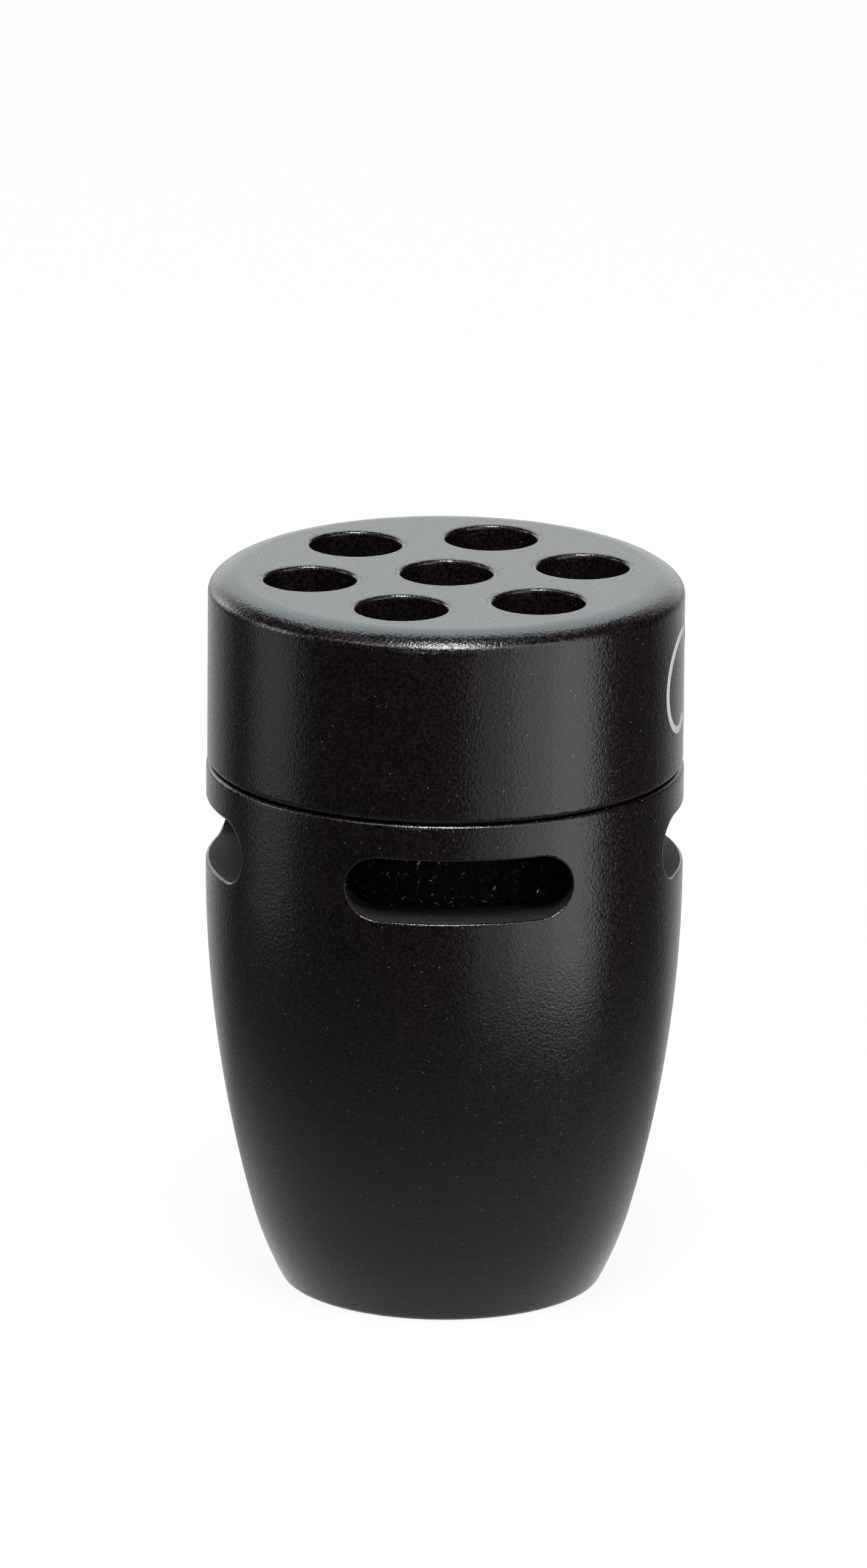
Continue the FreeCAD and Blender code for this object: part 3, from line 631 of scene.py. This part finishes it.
def black_foam(name, deepest):
    """Black foam skin with a soft sheen; nearer to the axis than this it is dull and painted
    darker, as painted shade deep in the foam.
    """
    foam = Finish(name)
    soot = foam.noise(0.3, 3)
    across = foam.node("VectorMath", {"operation": "MULTIPLY"}, {0: foam.place(), 1: (1, 1, 0)})
    # Painted shade: nearer to the axis than the deepest struts the colour drops to near black
    # and the finish goes dull.
    deep_painted_shade = 1 - (foam.node("VectorMath", {"operation": "LENGTH"}, {0: across}, "Value")
                > deepest / 1000)
    return foam.surface(
        base_color=foam.blend(soot * (1 - deep_painted_shade), (0.0004, 0.0004, 0.0004), (0.02, 0.02, 0.02)),
        roughness=(soot * 0.12 + 0.08).larger(deep_painted_shade),
        normal=foam.bump(foam.noise(0.05, 2), 0.004))


def strut_lattice(cells, seed):
    """Corners and struts of a block of slightly uneven foam cells, in cell widths."""
    base = [order for sign in (1, 3)
            for order in ((0, sign, 2), (0, 2, sign), (sign, 0, 2), (sign, 2, 0), (2, 0, sign),
                          (2, sign, 0))]
    steps = [step for a in (1, -1) for b in (1, -1)
             for step in ((0, a, b), (a, 0, b), (a, b, 0))]
    numbers = {}
    for cell in np.ndindex(*cells):
        for spot in base:
            numbers[tuple(4 * cell[axis] + spot[axis] for axis in range(3))] = len(numbers)
    struts = []
    for key, number in numbers.items():
        for step in steps:
            other = (key[0] + step[0], key[1] + step[1], key[2] + step[2])
            if other > key and other in numbers:
                struts.append((number, numbers[other]))
    wander = np.random.default_rng(seed).normal(0, CELL_WANDER / 2, (len(numbers), 3))
    return np.array(list(numbers)) / 4 + wander, np.array(struts)


def strut_skin(corners, struts, seed):
    """Bowed four-sided rods along the struts, thicker where they meet."""
    skin = Skin()
    start, end = corners[struts[:, 0]], corners[struts[:, 1]]
    along = end - start
    along /= np.linalg.norm(along, axis=1)[:, None]
    helper = np.where(np.abs(along[:, 2:3]) < 0.8, [[0, 0, 1.0]], [[1.0, 0, 0]])
    side = np.cross(along, helper)
    side /= np.linalg.norm(side, axis=1)[:, None]
    over = np.cross(along, side)
    bow = np.random.default_rng(seed).normal(0, STRUT_BOW, (len(struts), 3))
    points = []
    for share in (0, 0.35, 0.65, 1):
        middle = start + (end - start) * share + bow * (4 * share * (1 - share))
        radius = STRUT_RADIUS * (1 + 0.7 * abs(2 * share - 1) ** 2)
        for corner in range(4):
            angle = math.pi * corner / 2
            points.append(middle + radius * (math.cos(angle) * side + math.sin(angle) * over))
    skin.spots = np.stack(points, axis=1).reshape(-1, 3).tolist()
    firsts = np.arange(len(struts)) * 16
    for ring in (0, 4, 8):
        for corner in range(4):
            here, there = ring + corner, ring + (corner + 1) % 4
            skin.faces += np.stack([firsts + here, firsts + there, firsts + there + 4,
                                    firsts + here + 4], axis=1).tolist()
    return skin


SIDE_AROUND, SIDE_UP, SIDE_THICK = 44, 4, 0.9
SKIN_MARGIN, STRUT_MARGIN = 0.06, 0.07
SHADE_SHEET_RADII, SHADE_SHEET_ROWS, SHADE_SHEET_COLUMNS = (5.34, 5.44), 19, 180

low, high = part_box("side_foam")
outer, bottom, tall = high.x * 1000, low.z * 1000, (high.z - low.z) * 1000
corners, struts = strut_lattice((SIDE_AROUND, SIDE_UP, 1), 7)
angles = corners[:, 0] / SIDE_AROUND * 2 * math.pi
radii = np.clip(outer - SKIN_MARGIN - (0.75 - corners[:, 2]) * SIDE_THICK,
                DEEPEST, outer - SKIN_MARGIN)
levels = np.clip(bottom + corners[:, 1] / SIDE_UP * tall,
                 bottom + STRUT_MARGIN, bottom + tall - STRUT_MARGIN)
placed = np.stack([radii * np.sin(angles), -radii * np.cos(angles), levels], axis=1)
side_skin = strut_skin(placed, struts, 8)
# A crumpled sheet closes the inside of the sleeve so nothing shows through the foam. It lies
# nearer to the axis than DEEPEST, so the foam finish paints it near black and dull, as painted
# shade.
shade_sheet_crumple = np.random.default_rng(9).uniform(*SHADE_SHEET_RADII, (SHADE_SHEET_ROWS, SHADE_SHEET_COLUMNS))
side_skin.stack([
    side_skin.row([cylinder_spot(shade_sheet_crumple[row, n], 360 * n / SHADE_SHEET_COLUMNS,
                                 bottom + tall * row / (SHADE_SHEET_ROWS - 1))
                   for n in range(SHADE_SHEET_COLUMNS)])
    for row in range(SHADE_SHEET_ROWS)])
side_foam = side_skin.piece("side_foam_cells", [black_foam("side_foam", DEEPEST)], 80, "foam",
                            ["side_foam"])

# The front foam is a disc punched from the same foam. It lies under the gauze and keeps
# breath and dust away from the element.
FRONT_CELL, FRONT_RIM, FRONT_TRIM = 0.85, 0.1, 0.2
BACKING_ROWS, BACKING_COLUMNS, BACKING_SAG = 13, 72, (0.01, 0.06)

low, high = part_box("front_foam")
bottom, tall, rim = low.z * 1000, (high.z - low.z) * 1000, high.x * 1000 - FRONT_RIM
wide = math.ceil(2 * rim / FRONT_CELL)
corners, struts = strut_lattice((wide, wide, 1), 17)
placed = (corners - [wide / 2, wide / 2, 0]) * [FRONT_CELL, FRONT_CELL, tall - 2 * STRUT_MARGIN]
placed[:, 2] = np.clip(bottom + STRUT_MARGIN + placed[:, 2],
                       bottom + STRUT_MARGIN, bottom + tall - STRUT_MARGIN)
within = np.linalg.norm(placed[:, :2], axis=1) < rim - FRONT_TRIM
struts = struts[within[struts].all(axis=1)]
front_skin = strut_skin(placed, struts, 18)
sag = np.random.default_rng(19).uniform(*BACKING_SAG, (BACKING_ROWS, BACKING_COLUMNS))
backing = [
    front_skin.row([cylinder_spot(rim * (row + 0.5) / (BACKING_ROWS - 0.5),
                                  360 * n / BACKING_COLUMNS, bottom + sag[row, n])
                    for n in range(BACKING_COLUMNS)])
    for row in range(BACKING_ROWS)]
front_skin.stack(backing)
front_skin.faces.append(tuple(backing[0]))
front_foam = front_skin.piece("front_foam_cells", [black_foam("front_foam", 0)], 80, "foam",
                              ["front_foam"])

# The front gauze is punched from plain-woven steel wire and blackened. Each wire passes
# over one wire and under the next.
WIRE_PITCH, WIRE_RADIUS, GAUZE_TRIM = 0.3, 0.045, 0.05
FEWEST_POINTS = 5

wire = Finish("blackened_wire")
sheen = wire.noise(0.2, 3)
low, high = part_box("front_gauze")
middle, rim = (low.z + high.z) * 500, high.x * 1000 - GAUZE_TRIM
gauze = Skin()
count = int(rim / WIRE_PITCH)
for turned in (False, True):
    for number in range(-count, count + 1):
        place = number * WIRE_PITCH
        half = int(math.sqrt(max(rim ** 2 - place ** 2, 0)) / WIRE_PITCH * 2) / 2
        steps = int(half * 2) * 2 + 1
        if steps < FEWEST_POINTS:
            continue
        path = []
        for step in range(steps):
            along = -half + 2 * half * step / (steps - 1)
            side = math.cos(math.pi * (along + number + turned))
            point = (along * WIRE_PITCH, place)
            path.append((*(point[::-1] if turned else point), middle + side * WIRE_RADIUS))
        rod(gauze, path, WIRE_RADIUS)
gauze.piece("front_gauze_weave", [wire.surface(
    base_color=wire.blend(sheen, (0.01, 0.01, 0.011), (0.05, 0.05, 0.052)),
    metallic=0.6,
    roughness=sheen * 0.25 + 0.25,
    normal=wire.bump(sheen, 0.004))], 80, "gauze", ["front_gauze"])

# The barrel is turned from aluminium and painted matt black after four slots are milled
# through its wall. The paint lies soft and slightly thick on every edge.
SPECK_SCALE, SPECK_SIZE, SPECK_PATCHES = 4500, 0.115, 0.62


def satin_paint(name, dry=0.0):
    """Sprayed black paint: near-black and finely grainy, with sparse bright specks."""
    paint = Finish(name)
    grain = paint.noise(0.11, 1, 0.8)
    cloud = paint.noise(1.6, 3)
    dots = paint.node("TexVoronoi", {}, {
        "Vector": paint.place(), "Scale": SPECK_SCALE}, "Distance")
    speck = (1 - (dots > SPECK_SIZE)) * (paint.noise(0.3, 0) > SPECK_PATCHES)
    shade = paint.blend(((grain - 0.5) * 3 + 0.35).larger(0).smaller(1) * 0.8 + cloud * 0.2,
                        (0, 0, 0), (0.011, 0.006, 0.0075))
    return paint.surface(
        base_color=paint.blend(speck, shade, (0.1, 0.1, 0.1)),
        roughness=grain * 0.28 + 0.08 + dry,
        specular_ior_level=0.35,
        normal=paint.bump(grain, 0.015))


body_radius = cad_high.x * 1000
WIDEST, TAPER, FOOT_HEIGHT, FOOT_BEND, HEEL_BEND = 15.0, 46.0, 2.8, 13.0, 0.35
SEAM, SEAM_ROUNDING = 18.68, 0.16
COLUMNS, SLOT_TURN, SLOT_COUNT = 240, 4.0, 4
SLOT_LOW, SLOT_HIGH, SLOT_HALF = 15.18, 17.40, 3.9
SLOT_ROUNDING, SLOT_MARGIN = 0.10, 0.03
BAND_LOW, BAND_HIGH, BAND_ROWS, BAND_REACH = 14.6, 17.85, 16, 28
CHAMBER, CHAMBER_FLOOR = 6.33, 13.4
BORE_STEPS = ((5.9, 8.2), (5.4, 7.4), (5.0, 4.6), (4.5, 4.05))
NECK, NECK_TOP, EDGE_BREAK = 7.25, 21.5, 0.05
SOCKET, THREAD_DEPTH, THREAD_PITCH = 4.25, 0.25, 0.5
THREAD_LOW, THREAD_HIGH, THREAD_STEPS, THREAD_FLANK = 0.3, 4.0, 60, 3.2
THREAD_START, THREAD_END = 0.2, 0.1


def arc(centre, radius, start, end, steps):
    """Points along an arc in the capsule's section, its angles in degrees."""
    return [(centre[0] + radius * math.cos(math.radians(start + (end - start) * n / steps)),
             centre[1] + radius * math.sin(math.radians(start + (end - start) * n / steps)))
            for n in range(steps + 1)]


def angle_at(centre, spot):
    """Direction from an arc's centre to a point, in degrees."""
    return math.degrees(math.atan2(spot[1] - centre[1], spot[0] - centre[0]))


def barrel_rows(skin, section):
    """A row of points right round the axis for each point of the section."""
    return [skin.row([cylinder_spot(radius, SLOT_TURN + 360 * n / COLUMNS, height)
                      for n in range(COLUMNS)]) for radius, height in section]


taper_centre = (body_radius - TAPER, WIDEST)
foot_top = (taper_centre[0] + math.sqrt(TAPER ** 2 - (WIDEST - FOOT_HEIGHT) ** 2), FOOT_HEIGHT)
share = (TAPER - FOOT_BEND) / TAPER
foot_centre = tuple(a + (b - a) * share for a, b in zip(taper_centre, foot_top))
heel_x = foot_centre[0] + math.sqrt(
    (FOOT_BEND - HEEL_BEND) ** 2 - (foot_centre[1] - HEEL_BEND) ** 2)
heel_centre = (heel_x, HEEL_BEND)
reach = FOOT_BEND / (FOOT_BEND - HEEL_BEND)
heel_top = tuple(a + (b - a) * reach for a, b in zip(foot_centre, heel_centre))

lower = [(SOCKET + 0.35, 0.0), (heel_x - 0.05, 0.0)]
lower += arc(heel_centre, HEEL_BEND, -90, angle_at(foot_centre, heel_top), 8)
lower += arc(foot_centre, FOOT_BEND, angle_at(foot_centre, heel_top),
             angle_at(taper_centre, foot_top), 14)[1:]
lower += arc(taper_centre, TAPER, angle_at(taper_centre, foot_top),
             angle_at(taper_centre, (body_radius, BAND_LOW)), 24)[1:]
lower[-1] = (body_radius - (WIDEST - BAND_LOW) ** 2 / 2 / TAPER, BAND_LOW)


def barrel_radius(height):
    """Outer radius of the barrel in the band that holds the slots."""
    below = max(WIDEST - height, 0)
    return body_radius - below ** 2 / 2 / TAPER


band_levels = [BAND_LOW + (BAND_HIGH - BAND_LOW) * n / BAND_ROWS for n in range(BAND_ROWS + 1)]
upper = [(body_radius, SEAM - SEAM_ROUNDING - 0.1)]
upper += arc((body_radius - SEAM_ROUNDING, SEAM - SEAM_ROUNDING), SEAM_ROUNDING, 0, 90, 6)
upper += [(NECK + EDGE_BREAK, SEAM), (NECK, SEAM + EDGE_BREAK), (NECK, NECK_TOP),
          (CHAMBER, NECK_TOP)]
bores = [(CHAMBER, CHAMBER_FLOOR)]
for radius, floor in BORE_STEPS:
    bores += [(radius, bores[-1][1]), (radius, floor)]


def slot_spot(radius, across, height, inward=0.0):
    """A point of a slot, measured across the wall in front of it."""
    return (across, -math.sqrt(radius ** 2 - across ** 2) + inward, height)


def slot_outline(across, height, margin):
    """The point of a slot's outline nearest to a point outside it."""
    middle, half = (SLOT_LOW + SLOT_HIGH) / 2, (SLOT_HIGH - SLOT_LOW) / 2
    core = max(-(SLOT_HALF - half), min(SLOT_HALF - half, across))
    away = math.hypot(across - core, height - middle)
    share = (half + margin) / away
    return core + (across - core) * share, middle + (height - middle) * share


barrel = Skin()
low_rows = barrel_rows(barrel, lower)
outside = [low_rows[-1]] + barrel_rows(
    barrel, [(barrel_radius(level), level) for level in band_levels[1:]])
high_rows = barrel_rows(barrel, upper)
inside = barrel_rows(barrel, [(CHAMBER, level) for level in band_levels])
bore_rows = barrel_rows(barrel, bores)
barrel.stack(low_rows)
barrel.stack([outside[-1]] + high_rows + [inside[-1]])
barrel.stack([inside[0]] + bore_rows)

thread_rows = []
for step in range(THREAD_STEPS + 1):
    level = THREAD_HIGH - (THREAD_HIGH - THREAD_LOW) * step / THREAD_STEPS
    fade = min(1.0, (THREAD_HIGH - level) / THREAD_END,
               (level - THREAD_LOW + EDGE_BREAK) / THREAD_START)
    ring = []
    for n in range(COLUMNS):
        phase = (level / THREAD_PITCH - n / COLUMNS) % 1.0
        groove = THREAD_DEPTH * min(1.0, max(0.0, THREAD_FLANK * (0.5 - abs(phase - 0.5))))
        ring.append(cylinder_spot(SOCKET + groove * fade, SLOT_TURN + 360 * n / COLUMNS, level))
    thread_rows.append(barrel.row(ring))
mouth = barrel_rows(barrel, [(SOCKET + 0.05, 0.22), (SOCKET + 0.3, 0.0)])
barrel.stack([bore_rows[-1]] + thread_rows + mouth + [low_rows[0]])

slots = [COLUMNS // SLOT_COUNT * n for n in range(SLOT_COUNT)]
half_round = COLUMNS // 2
kept = [n for n in range(COLUMNS)
        if all(not -BAND_REACH <= (n - middle + half_round) % COLUMNS - half_round < BAND_REACH
               for middle in slots)]
for rows in (outside, inside):
    for row, following in zip(rows, rows[1:]):
        for n in kept:
            there = (n + 1) % COLUMNS
            barrel.faces.append((row[n], row[there], following[there], following[n]))

edge = [(0, n) for n in range(-BAND_REACH, BAND_REACH)]
edge += [(n, BAND_REACH) for n in range(BAND_ROWS)]
edge += [(BAND_ROWS, n) for n in range(BAND_REACH, -BAND_REACH, -1)]
edge += [(n, -BAND_REACH) for n in range(BAND_ROWS, 0, -1)]
flat, inner_flat = [], []
for row, column in edge:
    angle = math.radians(360 * column / COLUMNS)
    flat.append((body_radius * math.sin(angle), band_levels[row]))
    inner_flat.append((CHAMBER * math.sin(angle), band_levels[row]))
for middle in slots:
    turn_by = Matrix.Rotation(math.radians(SLOT_TURN + 360 * middle / COLUMNS), 3, "Z")

    def slot_row(spots):
        """A row round this slot, turned to its place on the barrel."""
        return barrel.row([tuple(turn_by @ Vector(spot)) for spot in spots])

    rows = [[outside[row][(middle + column) % COLUMNS] for row, column in edge]]
    for share in (0.3, 0.55, 0.75, 0.9, 1.0):
        spots = []
        for across, height in flat:
            near = slot_outline(across, height, SLOT_ROUNDING + SLOT_MARGIN)
            spot = (across + (near[0] - across) * share, height + (near[1] - height) * share)
            spots.append(slot_spot(barrel_radius(spot[1]), *spot))
        rows.append(slot_row(spots))
    for step in range(7):
        bend = math.radians(15 * step)
        spots = []
        for across, height in flat:
            spot = slot_outline(across, height, SLOT_ROUNDING * (1 - math.sin(bend)))
            depth = SLOT_ROUNDING * (1 - math.cos(bend))
            spots.append(slot_spot(barrel_radius(spot[1]), *spot, depth))
        rows.append(slot_row(spots))
    rounded = len(rows)
    for share in (0.1, 0.4, 0.7, 1.0):
        spots = []
        for across, height in flat:
            spot = slot_outline(across, height, 0)
            start = slot_spot(body_radius, *spot, SLOT_ROUNDING)
            end = slot_spot(CHAMBER, *spot)
            spots.append(tuple(a + (b - a) * share for a, b in zip(start, end)))
        rows.append(slot_row(spots))
    for share in (0.05, 0.5):
        spots = []
        for (across, height), (inner_across, inner_height) in zip(flat, inner_flat):
            near = slot_outline(across, height, 0)
            spot = (near[0] + (inner_across - near[0]) * share,
                    near[1] + (inner_height - near[1]) * share)
            spots.append(slot_spot(CHAMBER, *spot))
        rows.append(slot_row(spots))
    rows.append([inside[row][(middle + column) % COLUMNS] for row, column in edge])
    barrel.stack(rows[:rounded])
    first = len(barrel.faces)
    barrel.stack(rows[rounded - 1:])
    barrel.inner += range(first, len(barrel.faces))
barrel.piece(
    "painted_barrel", [satin_paint("body_paint"), satin_paint("slot_paint", 0.55)], 40,
    "body_paint", ["body_shell"])

# The cap is turned from aluminium, drilled with seven sound holes, painted like the barrel
# and screwed down on it. The paint rounds the rims of the holes.
cap_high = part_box("front_cap")[1]
CAP_RADIUS = body_radius - 0.03
CAP_BORE, CAP_PLATE, LIP_ROUNDING = 7.3, 1.2, 0.27
FACE_BEND, SIDE_BEND, SHOULDER_RUN, SHOULDER_DROP = 1.42, 0.45, 1.1, 0.7
HOLE_RADIUS, HOLE_ROUNDING, HOLE_TURN = 1.59, 0.15, 11.3
HOLE_CIRCLE = (HOLE_RADIUS + CAP_BORE) / 2 + 0.36
CAP_COLUMNS, HOLE_COLUMNS = 256, 72
face = cap_high.z * 1000
ceiling = face - CAP_PLATE

cap = Skin()
section = [(CAP_RADIUS - SHOULDER_RUN - 0.05, face)]
knee = math.degrees(math.atan2(FACE_BEND - SHOULDER_DROP,
                               SHOULDER_RUN - SIDE_BEND))
section += arc((CAP_RADIUS - SHOULDER_RUN, face - FACE_BEND), FACE_BEND, 90, knee, 10)
section += arc((CAP_RADIUS - SIDE_BEND, face - SHOULDER_DROP), SIDE_BEND, knee, 0, 10)[1:]
section += [(CAP_RADIUS, face - 3), (CAP_RADIUS, SEAM + LIP_ROUNDING + 0.1)]
section += arc((CAP_RADIUS - LIP_ROUNDING, SEAM + LIP_ROUNDING), LIP_ROUNDING, 0, -90, 8)
section += [(CAP_BORE + 0.05, SEAM), (CAP_BORE, SEAM + 0.05),
            (CAP_BORE, ceiling - 0.05), (CAP_BORE - 0.05, ceiling)]
cap_rows = [ring_row(cap, radius, height, count=CAP_COLUMNS) for radius, height in section]
cap.stack(cap_rows)
centres = [(0.0, 0.0)] + [
    (HOLE_CIRCLE * math.cos(math.radians(HOLE_TURN + 60 * n)),
     HOLE_CIRCLE * math.sin(math.radians(HOLE_TURN + 60 * n))) for n in range(6)]
upper_rims, lower_rims = [], []
hole_section = [(HOLE_RADIUS + HOLE_ROUNDING + 0.04, face)]
hole_section += [(HOLE_RADIUS + HOLE_ROUNDING * (1 - math.sin(math.radians(10 * n))),
                  face - HOLE_ROUNDING * (1 - math.cos(math.radians(10 * n))))
                 for n in range(10)]
hole_section += [(HOLE_RADIUS, ceiling + 0.03), (HOLE_RADIUS + 0.03, ceiling)]
for x, y in centres:
    rows = [ring_row(cap, radius, height, x, y, HOLE_COLUMNS) for radius, height in hole_section]
    cap.stack(rows)
    upper_rims.append(rows[0])
    lower_rims.append(rows[-1])
fill_flat(cap, cap_rows[0], upper_rims)
fill_flat(cap, cap_rows[-1], lower_rims)
cap.piece("painted_cap", [satin_paint("cap_paint")], 40, "cap_paint", ["front_cap"])

# A pale closed curve is printed on the cap's side, as a plain sign of where the capsule
# listens. The ink stands up a hair's breadth from the paint.
LOOP_TURN, LOOP_LOW, LOOP_SIZE = 81.6, 20.75, 1.5
LOOP_HALF, LOOP_STEPS, INK = 0.125, 160, 0.012

ink = Finish("pale_ink")
speckle = ink.noise(0.12, 3)
loop = Skin()
loop_rows = []
for inset, lift in ((-LOOP_HALF, -INK), (-LOOP_HALF, INK), (LOOP_HALF, INK), (LOOP_HALF, -INK)):
    spots = []
    for step in range(LOOP_STEPS):
        turn = 2 * math.pi * (step + 0.5) / LOOP_STEPS
        away = LOOP_SIZE * (1 + math.cos(turn))
        out = turn + math.atan2(math.sin(turn), 1 + math.cos(turn))
        across = away * math.sin(turn) + inset * math.sin(out)
        height = LOOP_LOW + away * math.cos(turn) + inset * math.cos(out)
        spots.append(cylinder_spot(CAP_RADIUS + lift,
                                   LOOP_TURN + math.degrees(across / CAP_RADIUS), height))
    loop_rows.append(loop.row(spots))
loop.stack(loop_rows + [loop_rows[0]])
loop.piece("printed_loop", [ink.surface(
    base_color=ink.blend(speckle, (0.38, 0.41, 0.41), (0.55, 0.58, 0.58)),
    roughness=speckle * 0.2 + 0.5,
    normal=ink.bump(speckle, 0.003))], 40, "cap_paint")

low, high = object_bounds()
